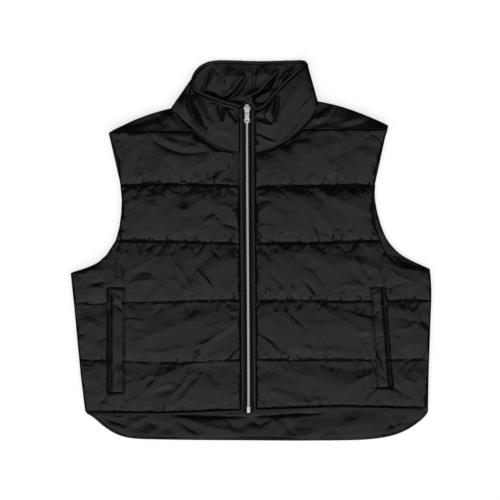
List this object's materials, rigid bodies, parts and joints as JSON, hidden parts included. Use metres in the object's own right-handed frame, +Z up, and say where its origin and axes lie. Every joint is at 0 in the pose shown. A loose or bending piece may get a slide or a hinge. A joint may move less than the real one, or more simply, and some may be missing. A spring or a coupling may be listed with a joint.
{
  "type": "puffer vest laid flat",
  "caption": "Cropped quilted puffer vest with a tall stand collar, welt pockets, a metal zip and a longer drop-hem back, laid flat and zipped up.",
  "frame": {"origin": "under the middle of the vest, on the surface that it lies on", "axes": "+Z up out of the surface, +Y from the hem towards the collar, +X to the right seen from above (the wearer's left)"},
  "size_m": [0.5779, 0.6095, 0.0242],
  "materials": {
    "black_nylon": "glossy woven nylon over light wadding, black",
    "edge_nylon": "the same nylon rolled into a narrow edge",
    "welt_nylon": "the same nylon, folded and pressed",
    "zip_tape": "matt black woven tape",
    "zip_teeth": "bright nickel-silver teeth",
    "zip_metal": "polished die-cast, slightly warm silver"
  },
  "bodies": {
    "vest": {"back_panel": "black_nylon", "front_left": "black_nylon", "front_right": "black_nylon", "collar": "black_nylon", "collar_edge": "edge_nylon", "front_edge_left": "edge_nylon", "front_edge_right": "edge_nylon", "welt_left": "welt_nylon", "welt_right": "welt_nylon", "zip_tape_left": "zip_tape", "zip_tape_right": "zip_tape", "zip_chain": "zip_teeth", "zip_box": "zip_metal", "zip_slider": "zip_metal"},
    "pull": {"zip_pull": "zip_metal"}
  },
  "joints": [
    {"name": "pull_swing", "type": "hinge", "parent": "vest", "child": "pull", "pos_m": [-0.0067, 0.2265, 0.02117], "axis": [-1, 0, 0], "range_deg": [0, 170]}
  ]
}
